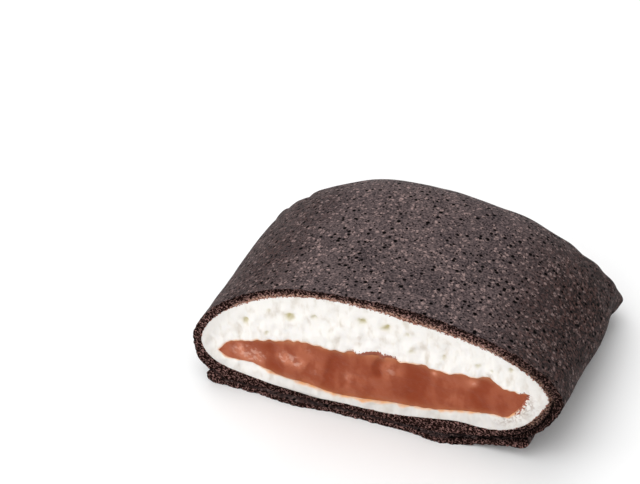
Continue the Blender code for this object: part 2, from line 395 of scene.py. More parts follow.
def drape(name, rows, **marks):
    """A closed piece: a grid whose rows lie along the rings, with its seams merged."""
    count, around = rows.shape[:2]
    mesh = bmesh.new()
    layers = {mark: mesh.verts.layers.float.new(mark) for mark in marks}
    bmesh.ops.create_grid(mesh, x_segments=around - 1, y_segments=count - 1, size=1.0)
    for vert in mesh.verts:
        column = round((vert.co.x + 1.0) / 2.0 * (around - 1))
        row = round((vert.co.y + 1.0) / 2.0 * (count - 1))
        vert.co = rows[row, column]
        for mark, layer in layers.items():
            vert[layer] = marks[mark][row, column]
    bmesh.ops.remove_doubles(mesh, verts=mesh.verts, dist=SEAM)
    bmesh.ops.recalc_face_normals(mesh, faces=mesh.faces)
    data = bpy.data.meshes.new(name)
    mesh.to_mesh(data)
    mesh.free()
    data.shade_smooth()
    piece = bpy.data.objects.new(name, data)
    bpy.context.scene.collection.objects.link(piece)
    return piece


# Shares of the depth: even from the cut to the shoulder, then closer as the top falls to the fold.
fall = np.sin(np.linspace(0.0, LAST_FALL, SKIN_ROWS // 2)) ** (2.0 / END_POWER)
falling = SHOULDER + (1.0 - SHOULDER) * LAST_SHARE * fall[1:]
skin_shares = np.concatenate([np.linspace(FIRST_SHARE, SHOULDER, SKIN_ROWS // 2), falling])
spacing = np.linspace(0.0, 1.0, len(skin_shares))
skin_shares = np.interp(np.linspace(0.0, 1.0, SKIN_ROWS), spacing, skin_shares)

skin = np.array([skin_ring(v) for v in skin_shares])
skin_out = outwards(skin)
from_cut = skin[:, :, 1] - CUT_Y
skin_v = from_cut / DEPTH
edge_share = np.clip(1.0 - from_cut / RAGGED_REACH, 0.0, 1.0) ** 2
rim = between(lining_ring(0.0), skin_ring(0.0), RIM_ROWS)
ragged = RAGGED * lumps(rim[-1], RAGGED_SIZE)[:, None] * skin_out[0]
rim += ragged * np.linspace(0.0, 1.0, RIM_ROWS)[:, None, None] ** 2
skin += ragged * edge_share[:, :, None]

wave_share = step(from_cut, DEPTH, -SKIN_WAVE_FADE) * (1.0 - edge_share)
skin += skin_out * (SKIN_WAVE * lumps(skin, SKIN_WAVE_SIZE, seed=3.0) * wave_share)[:, :, None]
ear_share = step(np.abs(skin[:, :, 0]) / HALF_WIDTH, *EAR_SIDE_REACH) * step(skin_v, *EAR_BACK_REACH)
skin += skin_out * (EAR_PUFF * ear_share)[:, :, None]
back_share = hill(skin[:, :, 0], BACK_PUFF_X, BACK_PUFF_WIDTH) * step(skin[:, :, 2], *BACK_PUFF_Z_REACH)
back_share *= step(skin_v, *BACK_PUFF_NEAR_REACH) * step(skin_v, *BACK_PUFF_FAR_REACH)
skin += skin_out * (BACK_PUFF * back_share)[:, :, None]
fading = step(skin[:, :, 1], *CREASE_Y_REACH) * step(skin[:, :, 2], *CREASE_LOW_REACH)
fading *= step(skin[:, :, 2], *CREASE_HIGH_REACH)
for crease, deep in CREASES:
    away = near_line(skin, crease, (0, 1))
    profile = CREASE_LIP * hill(away, 2.0 * CREASE_WIDTH, CREASE_WIDTH) - fade(away, CREASE_WIDTH)
    skin += skin_out * (deep * MM * fading * profile)[:, :, None]

slit = np.maximum(fade(near_line(rim, SLIT), SLIT_WIDTH), fade(near_line(rim, WEDGE), WEDGE_WIDTH))
rim_depth = crumb_relief(rim, slit)
rim[:, :, 1] += rim_depth
skin[:, :, 1] += rim_depth[-1] * edge_share

end = section(-half_width(1.0), half_width(1.0), 1.0, DEPTH, pressed_upper, pressed_lower)
lining = np.array([lining_ring(v) for v in LINING_SHARES])
tube_rows = np.concatenate([[middle_line(lining[0])], lining, rim, skin, [end, middle_line(end)]])

# Marks for the crepe's material, each from 0 to 1 on the tube's points.
CRUMB_ROWS = 1 + len(lining) + RIM_ROWS
COARSE_LEAST = 0.05
COARSE_RIGHT = 0.85
COARSE_RIGHT_REACH = (14.0 * MM, 24.0 * MM)
COARSE_LEFT = 0.6
COARSE_LEFT_REACH = (-14.0 * MM, -14.0 * MM)
SMEAR_Z_REACH = (7.0 * MM, 3.0 * MM)
SMEAR_RIGHT_LOSS = 0.12
SMEAR_RIGHT_REACH = (8.0 * MM, 20.0 * MM)
SMEAR_LEFT_LOSS = 0.5
SMEAR_LEFT_REACH = (-27.0 * MM, -8.0 * MM)
RED_SPOT = (33.9, 11.2, 2.8)
RED_SPOT_STRENGTH = 0.9
SHADE_TOP = 0.55
SHADE_TOP_REACH = (0.55, 0.35)
SHADE_RIGHT = 0.5
SHADE_RIGHT_REACH = (24.0 * MM, 9.0 * MM)

tube_x, tube_z = tube_rows[:, :, 0], tube_rows[:, :, 2]
row_numbers = np.arange(len(tube_rows))[:, None] * np.ones(tube_x.shape)
crumb = 1.0 * (row_numbers < CRUMB_ROWS)
across_rim = np.clip((row_numbers - 1 - len(lining)) / (RIM_ROWS - 1), 0.0, 1.0)
# The grit mark is the skin's coarse brown grain at the left and the right, and it is also painted shade: the
# right side is made darker and browner, where less light falls on it.
coarse = COARSE_LEAST + COARSE_RIGHT * step(tube_x, *COARSE_RIGHT_REACH)
coarse += COARSE_LEFT * step(tube_x, *COARSE_LEFT_REACH)
on_top = step(tube_z, *SMEAR_Z_REACH) * (1.0 - SMEAR_RIGHT_LOSS * step(tube_x, *SMEAR_RIGHT_REACH))
on_top *= 1.0 - SMEAR_LEFT_LOSS * step(tube_x, *SMEAR_LEFT_REACH)
smear = (1.0 - across_rim) * np.maximum(on_top, RED_SPOT_STRENGTH * spot(tube_rows, *RED_SPOT))
# The gap mark is painted shade: the crumb is painted black in the open slit and in the wedge under the tube,
# and darker along its top edge and at its right end.
gap = np.zeros(tube_x.shape)
gap[1 + len(lining) : CRUMB_ROWS] = slit
gap = np.maximum(gap, SHADE_TOP * crumb * on_top * step(across_rim, *SHADE_TOP_REACH))
gap = np.maximum(gap, SHADE_RIGHT * crumb * step(tube_x, *SHADE_RIGHT_REACH))
tube = drape("crepe_tube", tube_rows, crumb=crumb, smear=smear, coarse=coarse, gap=gap)
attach(tube, "root")
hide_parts("crepe")

SKIN_DARK = (0.053, 0.040, 0.044, 1.0)
SKIN_LIGHT = (0.094, 0.070, 0.072, 1.0)
# Light flecks of the skin, also used as painted highlights on its tiny bumps.
SPECKLE = (0.33, 0.23, 0.215, 1.0)
# Colours of the coarse grit, darkened as painted shade for the right side of the skin.
GRIT_DARK = (0.006, 0.0025, 0.002, 1.0)
GRIT_LIGHT = (0.078, 0.037, 0.031, 1.0)
PORE_BLACK = (0.0005, 0.0002, 0.0002, 1.0)
CRUMB_DARK = (0.008, 0.002, 0.001, 1.0)
CRUMB_LIGHT = (0.50, 0.275, 0.245, 1.0)
SMEAR_BROWN = (0.21, 0.080, 0.052, 1.0)
SMEAR_PINK = (0.50, 0.30, 0.23, 1.0)
SMEAR_CREAM = (0.76, 0.66, 0.60, 1.0)

# Sizes of the pattern in the skin and the crumb. Each band is the two limits between which a value fades in,
# and where it has four numbers, the last two are what it fades from and to.
TONE_CLOUD = 9.0 * MM
TONE_BAND = (0.3, 0.7)
GRAIN = 0.45 * MM
GRAIN_BAND = (0.38, 0.62)
GRAIN_DARKER = 0.45
GRAIN_LIGHTER = 0.22
SPECK_SPACING = 1.15 * MM
SPECK_RADIUS = 0.5 * MM
SPECK_BAND = (0.42, 0.62, 0.15, 0.95)
PORE_SPACING = 1.45 * MM
PORE_RADIUS = 0.4 * MM
PORE_SHIFT = (0.03, 0.05, 0.02)
PRICK_SPACING = 0.75 * MM
PRICK_RADIUS = 0.2 * MM
PRICK_STRENGTH = 0.9
COARSE_CLOUD = 3.0 * MM
COARSE_BAND = (0.3, 0.6, 0.7, 1.0)
COARSE_SPECK_LOSS = 0.6
GRIT_CLOUD = 0.7 * MM
GRIT_BAND = (0.44, 0.66)
CRUMB_CELL = 0.55 * MM
CRUMB_WALL = 0.17
CRUMB_WALL_BAND = (0.42, 0.62)
SMEAR_GRAIN = 1.6
SMEAR_BAND = (1.35, 1.75)
SMEAR_PINK_BAND = (0.42, 0.6)
SMEAR_CREAM_BAND = (1.9, 2.2)
DOT_SIZES = (0.45, 1.25)
DOT_EDGE = (1.0, 0.7)
SKIN_ROUGHNESS = 0.66
CRUMB_ROUGHNESS = 1.0

# Heights of the skin's and the crumb's relief, in millimetres.
GRAIN_HEIGHT = 0.25
PORE_HEIGHT = 0.3
SPECK_HEIGHT = 0.06
CELL_HEIGHT = 0.35


def fill(tree, made, sockets):
    """Sets each named socket of a node to its value, or links it."""
    for key, value in sockets.items():
        if isinstance(value, bpy.types.NodeSocket):
            tree.links.new(value, made.inputs[key])
        else:
            made.inputs[key].default_value = value


def node(tree, kind, sockets, **settings):
    """A shader node with its settings, whose sockets take values or links."""
    made = tree.nodes.new("ShaderNode" + kind)
    for name, value in settings.items():
        setattr(made, name, value)
    fill(tree, made, sockets)
    return made


def blend(tree, share, low, high):
    return node(tree, "Mix", {0: share, 6: low, 7: high}, data_type="RGBA").outputs[2]


def blend_value(tree, share, low, high):
    return node(tree, "Mix", {0: share, 2: low, 3: high}).outputs[0]


def band(tree, value, low, high, to_low=0.0, to_high=1.0):
    """A soft step of a value between two limits."""
    sockets = {"Value": value, "From Min": low, "From Max": high, "To Min": to_low, "To Max": to_high}
    return node(tree, "MapRange", sockets, interpolation_type="SMOOTHSTEP").outputs[0]


def maths(tree, operation, a, b=0.0):
    return node(tree, "Math", {0: a, 1: b}, operation=operation).outputs[0]


def cloud(tree, where, size, detail=2.0):
    """Noise with lumps of about that size."""
    return node(tree, "TexNoise", {"Vector": where, "Scale": 1.0 / size, "Detail": detail}).outputs["Fac"]


def mark_value(tree, name):
    return node(tree, "Attribute", {}, attribute_name=name).outputs["Fac"]


def relief(tree, height, strength):
    """The normals of a height in millimetres."""
    return node(tree, "Bump", {"Height": height, "Distance": 1.0 * MM, "Strength": strength}).outputs[0]


def new_group(name, inputs, outputs):
    group = bpy.data.node_groups.new(name, "ShaderNodeTree")
    for socket, kind in inputs.items():
        group.interface.new_socket(socket, in_out="INPUT", socket_type=kind)
    for socket, kind in outputs.items():
        group.interface.new_socket(socket, in_out="OUTPUT", socket_type=kind)
    return group, group.nodes.new("NodeGroupInput"), group.nodes.new("NodeGroupOutput")


def new_material(name):
    material = bpy.data.materials.new(name)
    material.use_nodes = True
    tree = material.node_tree
    where = node(tree, "TexCoord", {}).outputs["Object"]
    return material, tree, tree.nodes["Principled BSDF"], where


dots, entry, leave = new_group(
    "scattered_dots",
    {"Where": "NodeSocketVector", "Spacing": "NodeSocketFloat", "Radius": "NodeSocketFloat"},
    {"Mask": "NodeSocketFloat"},
)
per_spacing = maths(dots, "DIVIDE", 1.0, entry.outputs["Spacing"])
cell = node(dots, "TexVoronoi", {"Vector": entry.outputs["Where"], "Scale": per_spacing}, feature="F1")
away = maths(dots, "MULTIPLY", cell.outputs["Distance"], entry.outputs["Spacing"])
uneven = node(dots, "SeparateColor", {"Color": cell.outputs["Color"]}).outputs[0]
reach = maths(dots, "MULTIPLY", entry.outputs["Radius"], band(dots, uneven, 0.0, 1.0, *DOT_SIZES))
dots.links.new(band(dots, maths(dots, "DIVIDE", away, reach), *DOT_EDGE), leave.inputs["Mask"])

sponge, entry, leave = new_group(
    "crumb_cells", {"Where": "NodeSocketVector", "Cell": "NodeSocketFloat"}, {"Wall": "NodeSocketFloat"}
)
at, per_cell = entry.outputs["Where"], maths(sponge, "DIVIDE", 1.0, entry.outputs["Cell"])
walls = node(sponge, "TexVoronoi", {"Vector": at, "Scale": per_cell}, feature="DISTANCE_TO_EDGE")
thin = band(sponge, walls.outputs["Distance"], CRUMB_WALL, 0.0)
broken = node(sponge, "TexNoise", {"Vector": at, "Scale": per_cell, "Detail": 4.0}).outputs["Fac"]
broken = band(sponge, broken, *CRUMB_WALL_BAND)
sponge.links.new(maths(sponge, "MULTIPLY", thin, broken), leave.inputs["Wall"])


def scatter(tree, where, spacing, radius):
    """The mask of dots of about that radius, one in each cell of that size."""
    sockets = {"Where": where, "Spacing": spacing, "Radius": radius}
    return node(tree, "Group", sockets, node_tree=dots).outputs["Mask"]


cocoa, tree, shader, where = new_material("cocoa_crepe")
fine = cloud(tree, where, GRAIN, detail=4.0)
tone = blend(tree, band(tree, cloud(tree, where, TONE_CLOUD), *TONE_BAND), SKIN_DARK, SKIN_LIGHT)
darker, lighter = blend(tree, GRAIN_DARKER, tone, PORE_BLACK), blend(tree, GRAIN_LIGHTER, tone, SPECKLE)
tone = blend(tree, band(tree, fine, *GRAIN_BAND), darker, lighter)
# Coarse grit, which also paints shade on the right side of the skin.
coarse = band(tree, cloud(tree, where, COARSE_CLOUD, detail=3.0), *COARSE_BAND)
coarse = maths(tree, "MULTIPLY", mark_value(tree, "coarse"), coarse)
grit = band(tree, cloud(tree, where, GRIT_CLOUD, detail=6.0), *GRIT_BAND)
gritty = blend(tree, grit, GRIT_DARK, GRIT_LIGHT)
# Light flecks, which also stand in as painted highlights on the tiny bumps of the skin.
specks = scatter(tree, where, SPECK_SPACING, SPECK_RADIUS)
specks = maths(tree, "MULTIPLY", specks, band(tree, fine, *SPECK_BAND))
fewer = maths(tree, "SUBTRACT", 1.0, maths(tree, "MULTIPLY", coarse, COARSE_SPECK_LOSS))
specks = maths(tree, "MULTIPLY", specks, fewer)
apart = node(tree, "Mapping", {"Vector": where, "Location": PORE_SHIFT}).outputs[0]
pricks = maths(tree, "MULTIPLY", scatter(tree, apart, PRICK_SPACING, PRICK_RADIUS), PRICK_STRENGTH)
pores = maths(tree, "MAXIMUM", scatter(tree, apart, PORE_SPACING, PORE_RADIUS), pricks)
skin_colour = blend(tree, specks, blend(tree, coarse, tone, gritty), SPECKLE)
skin_colour = blend(tree, pores, skin_colour, PORE_BLACK)

cells = node(tree, "Group", {"Where": where, "Cell": CRUMB_CELL}, node_tree=sponge).outputs["Wall"]
crumb_colour = blend(tree, cells, CRUMB_DARK, CRUMB_LIGHT)
smear = maths(tree, "ADD", mark_value(tree, "smear"), maths(tree, "MULTIPLY", fine, SMEAR_GRAIN))
smeared = blend(tree, band(tree, fine, *SMEAR_PINK_BAND), SMEAR_BROWN, SMEAR_PINK)
smeared = blend(tree, band(tree, smear, *SMEAR_CREAM_BAND), smeared, SMEAR_CREAM)
crumb_colour = blend(tree, band(tree, smear, *SMEAR_BAND), crumb_colour, smeared)
# Painted shade: the crumb goes black where the gap mark is.
crumb_colour = blend(tree, mark_value(tree, "gap"), crumb_colour, PORE_BLACK)

on_crumb = mark_value(tree, "crumb")
skin_height = maths(tree, "MULTIPLY", fine, GRAIN_HEIGHT)
skin_height = maths(tree, "SUBTRACT", skin_height, maths(tree, "MULTIPLY", pores, PORE_HEIGHT))
skin_height = maths(tree, "ADD", skin_height, maths(tree, "MULTIPLY", specks, SPECK_HEIGHT))
height = blend_value(tree, on_crumb, skin_height, maths(tree, "MULTIPLY", cells, CELL_HEIGHT))
fill(tree, shader, {
    "Base Color": blend(tree, on_crumb, skin_colour, crumb_colour),
    "Roughness": blend_value(tree, maths(tree, "MAXIMUM", on_crumb, pores), SKIN_ROUGHNESS, CRUMB_ROUGHNESS),
    "Specular IOR Level": 0.06,
    "Normal": relief(tree, height, 0.8),
})
tube.data.materials.append(cocoa)

# The crepe's flap
# The end of the same sheet, folded under the tube as its lowest layer, with its skin down on the table.
# Its left edge is a thick rounded lip, and its right end curls up off the table.

FLAP_LEFT = -36.9 * MM
FLAP_RIGHT = 33.6 * MM
FLAP_END = 50.0 * MM
FLAP_POWERS = (44.0, 2.2)
FLAP_SPREAD_LEFT = 2.1 * MM
FLAP_SPREAD_RIGHT = 3.0 * MM
FLAP_WANDER_LEFT = 0.5 * MM
FLAP_WANDER_RIGHT = 0.35 * MM
FLAP_WANDER_TURN = 13.2
LIP_LEFT = 2.2 * MM
LIP_LEFT_REACH = (-0.88, -0.1)
LIP_RIGHT = 1.1 * MM
LIP_RIGHT_REACH = (0.86, 0.1)
CURL = 3.0 * MM
CURL_LOSS = 0.6
CURL_REACH = (17.0 * MM, 16.6 * MM)
FLAP_ROWS = 60
FLAP_RIM_ROWS = 9
FLAP_FIRST_SHARE = 0.002
FLAP_RAGGED = 0.224 * MM
FLAP_RAGGED_SIZE = 1.0 * MM
FLAP_COARSE = 0.8

# How far the cut edge stands forward from under the tube, and where it bulges: place, width and height in mm.
FLAP_FRONT = 0.7 * MM
FLAP_FRONT_HILLS = ((-17.5, 6.0, 0.85), (14.5, 4.5, 0.9))
FLAP_FRONT_LOSS = 0.5 * MM
FLAP_FRONT_REACH = (16.0 * MM, 6.0 * MM)


def flap_front(x):
    return FLAP_FRONT + hills(x, FLAP_FRONT_HILLS) - FLAP_FRONT_LOSS * step(x, *FLAP_FRONT_REACH)


def flap_ring(along):
    wander = math.sin(FLAP_WANDER_TURN * along)
    left = FLAP_LEFT + FLAP_WANDER_LEFT * wander - FLAP_SPREAD_LEFT * along**3
    right = FLAP_RIGHT + FLAP_WANDER_RIGHT * wander + FLAP_SPREAD_RIGHT * along**3
    middle, half = (left + right) / 2.0, (right - left) / 2.0

    def side(sign):
        def height(x):
            t = (x - middle) / half
            lip = LIP_LEFT * step(t, *LIP_LEFT_REACH) + LIP_RIGHT * step(t, *LIP_RIGHT_REACH)
            lift = CURL * (1.0 - CURL_LOSS * along) * step(x, *CURL_REACH)
            return lift + (FLAP + lip) / 2.0 * (1.0 + sign * arc(t, FLAP_POWERS))

        return height

    def deep(x):
        return along * FLAP_END - flap_front(x) * (1.0 - along) ** 4

    return ring(left, right, deep, side(1.0), side(-1.0))


flap_shares = np.linspace(FLAP_FIRST_SHARE, 1.0, FLAP_ROWS)
flap_skin = np.array([flap_ring(along) for along in flap_shares])
flap_edge_share = np.clip(1.0 - flap_shares * FLAP_END / RAGGED_REACH, 0.0, 1.0)[:, None] ** 2
flap_rim = between(middle_line(flap_ring(0.0)), flap_ring(0.0), FLAP_RIM_ROWS)
flap_ragged = FLAP_RAGGED * lumps(flap_rim[-1], FLAP_RAGGED_SIZE, seed=7.0)[:, None] * outwards(flap_skin)[0]
flap_rim += flap_ragged * np.linspace(0.0, 1.0, FLAP_RIM_ROWS)[:, None, None]
flap_skin += flap_ragged * flap_edge_share[:, :, None]
flap_slit = fade(near_line(flap_rim, WEDGE), WEDGE_WIDTH)
flap_depth = crumb_relief(flap_rim, flap_slit)
flap_rim[:, :, 1] += flap_depth
flap_skin[:, :, 1] += flap_depth[-1] * flap_edge_share
flap_rows = np.concatenate([flap_rim, flap_skin, [middle_line(flap_skin[-1])]])
flap_rows[:, :, 2] = np.maximum(flap_rows[:, :, 2], 0.0)

no_mark = np.zeros(flap_rows.shape[:2])
# The flap's crumb is painted black in the wedge, as shade.
flap_crumb, flap_gap = no_mark.copy(), no_mark.copy()
flap_crumb[:FLAP_RIM_ROWS] = 1.0
flap_gap[:FLAP_RIM_ROWS] = flap_slit
coarse = no_mark + FLAP_COARSE
flap = drape("crepe_flap", flap_rows, crumb=flap_crumb, smear=no_mark, coarse=coarse, gap=flap_gap)
flap.data.materials.append(cocoa)
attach(flap, "root")
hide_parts("crepe")

# The chocolate cream
# A soft core of milk chocolate cream in the middle of the whipped cream, cut through by the knife.
# Its face is satin and a little wavy, and its edges are uneven where the two creams touch.

CORE_HALF = 33.3 * MM
CORE_X = -0.8 * MM
CORE_Z = 12.2 * MM
CORE_TILT = 0.09
CORE_DEPTH = 43.0 * MM
CORE_NARROW = 0.35
CORE_END_POWER = 12
CORE_FIRST = 2.0
CORE_CLOSED = 84.0
CORE_LAP = 0.08 * MM
CORE_FACE_ROWS = 22
CORE_ROWS = 16

# The core's upper and lower edge on the cut face, in millimetres, and the ragged steps along them.
CORE_TOP = (
    (-34.1, 9.3), (-32.8, 11.4), (-30, 13.0), (-24, 14.7), (-15, 17.2), (-8, 16.6),
    (-3, 17.5), (5, 18.5), (16, 18.5), (24.5, 19.3), (27, 18.1), (32.5, 17.4),
)
CORE_BOTTOM = (
    (-34.1, 9.3), (-32.5, 7.7), (-27, 7.9), (-19, 5.9), (-6, 4.9), (3, 6.1),
    (12.5, 7.3), (20, 9.1), (26, 10.3), (28.4, 9.8), (30.9, 13.0), (32.5, 17.4),
)
EDGE_SHIFTS = (-0.6 * MM, -0.3 * MM, 0.0, 0.3 * MM, 0.6 * MM)
JAG = 0.1 * MM
JAG_SIZE = 1.3 * MM
JAG_APART = 4.0
JAG_STRONG = 0.35 * MM
JAG_TOP_X = -1.0 * MM
JAG_TOP_WIDTH = 10.0 * MM
JAG_RIGHT_REACH = (25.0 * MM, 4.0 * MM)

# The relief of the core's face. Each fold has its stations, its width and its depth in millimetres.
CORE_WAVE = 0.2 * MM
CORE_WAVE_SIZE = 4.0 * MM
CORE_WAVE_TALL = (1.0, 1.0, 0.45)
CORE_RIPPLE = 0.08 * MM
CORE_RIPPLE_SIZE = 1.7 * MM
CORE_EDGE_SINK = 0.12 * MM
CORE_EDGE_POWER = 8
CORE_FOLDS = (
    (((-8.0, 16.0), (-8.8, 12.5), (-10.1, 9.3), (-10.7, 6.5)), 1.3, 0.5),
    (((1.3, 17.0), (0.5, 14.9), (1.0, 13.4)), 0.8, 0.6),
    (((9.0, 18.0), (9.6, 14.0), (8.6, 10.0)), 2.0, 0.5),
    (((23.0, 18.5), (22.0, 14.0), (23.5, 11.0)), 1.6, 0.4),
    (((-22.5, 14.0), (-22.0, 9.0)), 1.4, 0.35),
)

# Pale patches of the face, painted as sheen where highlights fall: place and size in millimetres, and how
# pale they are. The folds are painted darker, as shade.
CORE_PALE = 0.3
CORE_FOLD_SHADE = 1.2
CORE_PATCHES = (
    (-30.5, 10.5, 2.5, 0.5),
    (-27.5, 10.3, 2.0, 0.9),
    (-24.5, 10.2, 2.2, 0.7),
    (-19.5, 11.7, 1.8, 1.0),
    (-16.7, 11.0, 1.6, 0.9),
    (-14.5, 15.0, 2.0, 0.45),
    (-12.5, 9.0, 2.6, 0.5),
    (-5.5, 10.0, 2.6, 0.45),
    (3.6, 15.0, 2.2, 0.55),
    (17.0, 12.6, 2.6, 0.35),
    (13.0, 17.3, 0.6, 0.8),
    (21.4, 17.0, 1.5, 0.8),
)


def edge_line(x, stations):
    """Height of an edge that runs through the stations, with its corners softened."""
    at, high = np.array(stations).T * MM
    nearby = [np.interp(x + shift, at, high) for shift in EDGE_SHIFTS]
    near_end = (x < at[0] + EDGE_SHIFTS[-1]) | (x > at[-1] - EDGE_SHIFTS[-1])
    return np.where(near_end, np.interp(x, at, high), sum(nearby) / len(nearby))


def core_jag(x, sign):
    """Small ragged steps of the core's edge, strongest in the middle of its top and at its right end."""
    line = np.stack([x / JAG_SIZE, 0.0 * x + JAG_APART * sign, 0.0 * x], axis=1)
    strong = hill(x, JAG_TOP_X, JAG_TOP_WIDTH) if sign > 0 else 0.0
    return (JAG + JAG_STRONG * (strong + step(x, *JAG_RIGHT_REACH))) * lumps(line, 1.0)


def core_ring(angle, lap=0.0):
    """The core's outline, at an angle from 0 at the cut to 90 degrees where the core would close."""
    taper = math.sqrt(math.cos(math.radians(angle)))
    narrow = CORE_NARROW + (1.0 - CORE_NARROW) * taper
    half = CORE_HALF * narrow

    def side(sign, stations):
        def height(x):
            at_cut = CORE_X + (x - CORE_X) / narrow
            middle = CORE_Z + CORE_TILT * at_cut
            inside = 1.0 - ((at_cut - CORE_X) / CORE_HALF) ** CORE_END_POWER
            away = edge_line(at_cut, stations) - middle + sign * lap + core_jag(at_cut, sign) * inside
            return CORE_Z + CORE_TILT * x + taper * away

        return height

    y = math.sin(math.radians(angle)) * (CORE_DEPTH + lap)
    upper, lower = side(1.0, CORE_TOP), side(-1.0, CORE_BOTTOM)
    return ring(CORE_X - half, CORE_X + half, lambda x: y + 0.0 * x, upper, lower)


outline = core_ring(0.0, CORE_LAP)
core_face = between(middle_line(outline), outline, CORE_FACE_ROWS)
rounding = np.linspace(0.0, 1.0, CORE_FACE_ROWS)[:, None] ** CORE_EDGE_POWER
core_wave = CORE_WAVE * lumps(core_face * np.array(CORE_WAVE_TALL), CORE_WAVE_SIZE, seed=5.0)
core_ripple = CORE_RIPPLE * lumps(core_face, CORE_RIPPLE_SIZE, seed=2.0)
core_face[:, :, 1] -= core_wave + core_ripple - CORE_EDGE_SINK * rounding
for line, width, deep in CORE_FOLDS:
    core_face[:, :, 1] += deep * MM * fade(near_line(core_face, line), width * MM) * (1.0 - rounding)
core_angles = np.linspace(CORE_FIRST, CORE_CLOSED, CORE_ROWS)
core_body = np.array([core_ring(angle, CORE_LAP) for angle in core_angles])
core_rows = np.concatenate([core_face, core_body, [middle_line(core_body[-1])]])

core_edge = np.ones(core_rows.shape[:2])
core_edge[:CORE_FACE_ROWS] = rounding
# The mark is a little paleness everywhere, painted sheen at the patches, and painted shade along the folds.
core_pale = np.full(core_rows.shape[:2], CORE_PALE)
for x, z, size, pale in CORE_PATCHES:
    core_pale += pale * spot(core_rows, x, z, size)
for line, width, deep in CORE_FOLDS:
    core_pale -= deep * fade(near_line(core_rows, line), CORE_FOLD_SHADE * width * MM)
core = drape("chocolate_core", core_rows, edge=core_edge, pale=np.clip(core_pale, 0.0, 1.0))
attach(core, "root")
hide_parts("chocolate_cream")

CHOCOLATE = (0.245, 0.037, 0.006, 1.0)
CHOCOLATE_PALE = (0.54, 0.175, 0.090, 1.0)
GLINT = (0.76, 0.46, 0.36, 1.0)
STAIN = (0.80, 0.41, 0.19, 1.0)
EDGE_STAIN = 0.25
PATCH_CLOUD = 3.0 * MM
PATCH_TALL = (1.0, 1.0, 0.6)
PATCH_BAND = (0.38, 0.62, 0.25, 1.0)
GLINT_CLOUD = 0.8 * MM
GLINT_BAND = (0.40, 0.68, 0.05, 0.45)
GLINT_PALE_BAND = (0.6, 1.0)
CHOCOLATE_GRAIN = 0.9 * MM
CHOCOLATE_HEIGHT = 0.2

chocolate, tree, shader, where = new_material("chocolate_cream")
tall = node(tree, "Mapping", {"Vector": where, "Scale": PATCH_TALL}).outputs[0]
patches = band(tree, cloud(tree, tall, PATCH_CLOUD, detail=4.0), *PATCH_BAND)
# Painted sheen and painted shade of the face, with painted glints where the sheen is strongest.
tone = blend(tree, maths(tree, "MULTIPLY", mark_value(tree, "pale"), patches), CHOCOLATE, CHOCOLATE_PALE)
glints = band(tree, cloud(tree, where, GLINT_CLOUD, detail=1.0), *GLINT_BAND)
glints = maths(tree, "MULTIPLY", band(tree, mark_value(tree, "pale"), *GLINT_PALE_BAND), glints)
tone = blend(tree, glints, tone, GLINT)
tone = blend(tree, maths(tree, "MULTIPLY", mark_value(tree, "edge"), EDGE_STAIN), tone, STAIN)
height = maths(tree, "MULTIPLY", cloud(tree, where, CHOCOLATE_GRAIN, detail=3.0), CHOCOLATE_HEIGHT)
fill(tree, shader, {
    "Base Color": tone,
    "Roughness": 0.3,
    "Specular IOR Level": 0.22,
    "Subsurface Weight": 0.15,
    "Subsurface Radius": (0.9, 0.4, 0.25),
    "Subsurface Scale": 0.8 * MM,
    "Normal": relief(tree, height, 0.7),
})
core.data.materials.append(chocolate)

# The whipped cream
# Soft white cream that fills the crepe round the chocolate, with a lumpy face where the knife has passed.
# A row of air bubbles stands open near its upper edge, and the chocolate has stained it along their border.

CREAM_FACE_ROWS = 44
CREAM_LAP = 0.05 * MM
CREAM_SHARES = (0.0, 0.01, 0.06, 0.15, 0.3, 0.5, 0.7, 0.85, 0.95, 0.975)
CREAM_BULGE = 0.25 * MM
CREAM_TALL = (1.0, 1.0, 0.55)
CREAM_LUMP = 0.5 * MM
CREAM_LUMP_SIZE = 3.0 * MM
CREAM_CURD = 0.3 * MM
CREAM_CURD_SIZE = 1.3 * MM
POCKET_ROWS = 8
POCKET_FIRST = 4.0

# Open air bubbles of the face: place and radius in millimetres. Their outlines are a little uneven.
BUBBLES = (
    (-27.9, 19.2, 0.9),
    (-18.4, 23.2, 1.1),
    (-12.9, 24.6, 0.8),
    (-2.6, 26.6, 1.0),
    (2.5, 26.5, 1.1),
    (7.2, 26.1, 0.7),
    (-22.7, 23.5, 0.5),
    (-23.3, 17.4, 0.6),
    (8.3, 22.2, 0.6),
    (14.9, 22.3, 0.6),
    (22.0, 22.4, 0.6),
    (25.1, 22.3, 0.5),
    (28.6, 23.1, 0.6),
)
BUBBLE_SLOPE = 0.75
BUBBLE_DEPTH = 0.7 * MM
BUBBLE_UNEVEN = 0.35 * MM
BUBBLE_UNEVEN_SIZE = 0.8 * MM

# Marks of the face: stain and crumbs along the core, crumbs and painted shade along the rim, painted shade
# below the chocolate and towards both ends, and foam at the right end.
STAIN_WIDTH = 0.35 * MM
CRUMBS_X = 0.5 * MM
CRUMBS_SPREAD = 6.0 * MM
CRUMBS_RIGHT = 0.7
CRUMBS_RIGHT_REACH = (28.5 * MM, 3.0 * MM)
CRUMBS_WIDTH = 1.5 * MM
RIM_CRUMBS = 0.6
RIM_CRUMBS_WIDTH = 0.5 * MM
UNDER_DIM = 0.6
UNDER_Z_REACH = (CORE_Z, -3.0 * MM)
UNDER_X_REACH = (-26.0 * MM, 10.0 * MM)
RIM_DIM = 0.2
RIM_DIM_WIDTH = 3.0 * MM
ENDS_DIM = 0.4
ENDS_X = -1.0 * MM
ENDS_REACH = (26.0 * MM, 9.0 * MM)
LEFT_DIM = 0.25
LEFT_REACH = (-28.0 * MM, -6.0 * MM)
FOAM = ((28.3, 9.4), (31.3, 12.6), (33.2, 15.1))
FOAM_WIDTH = 1.9 * MM


def grown(rows, lap):
    """Rings moved outwards across the piece by that much."""
    around = onwards(rows)
    return rows + lap * unit(np.stack([-around[:, :, 2], 0.0 * around[:, :, 0], around[:, :, 0]], axis=2))


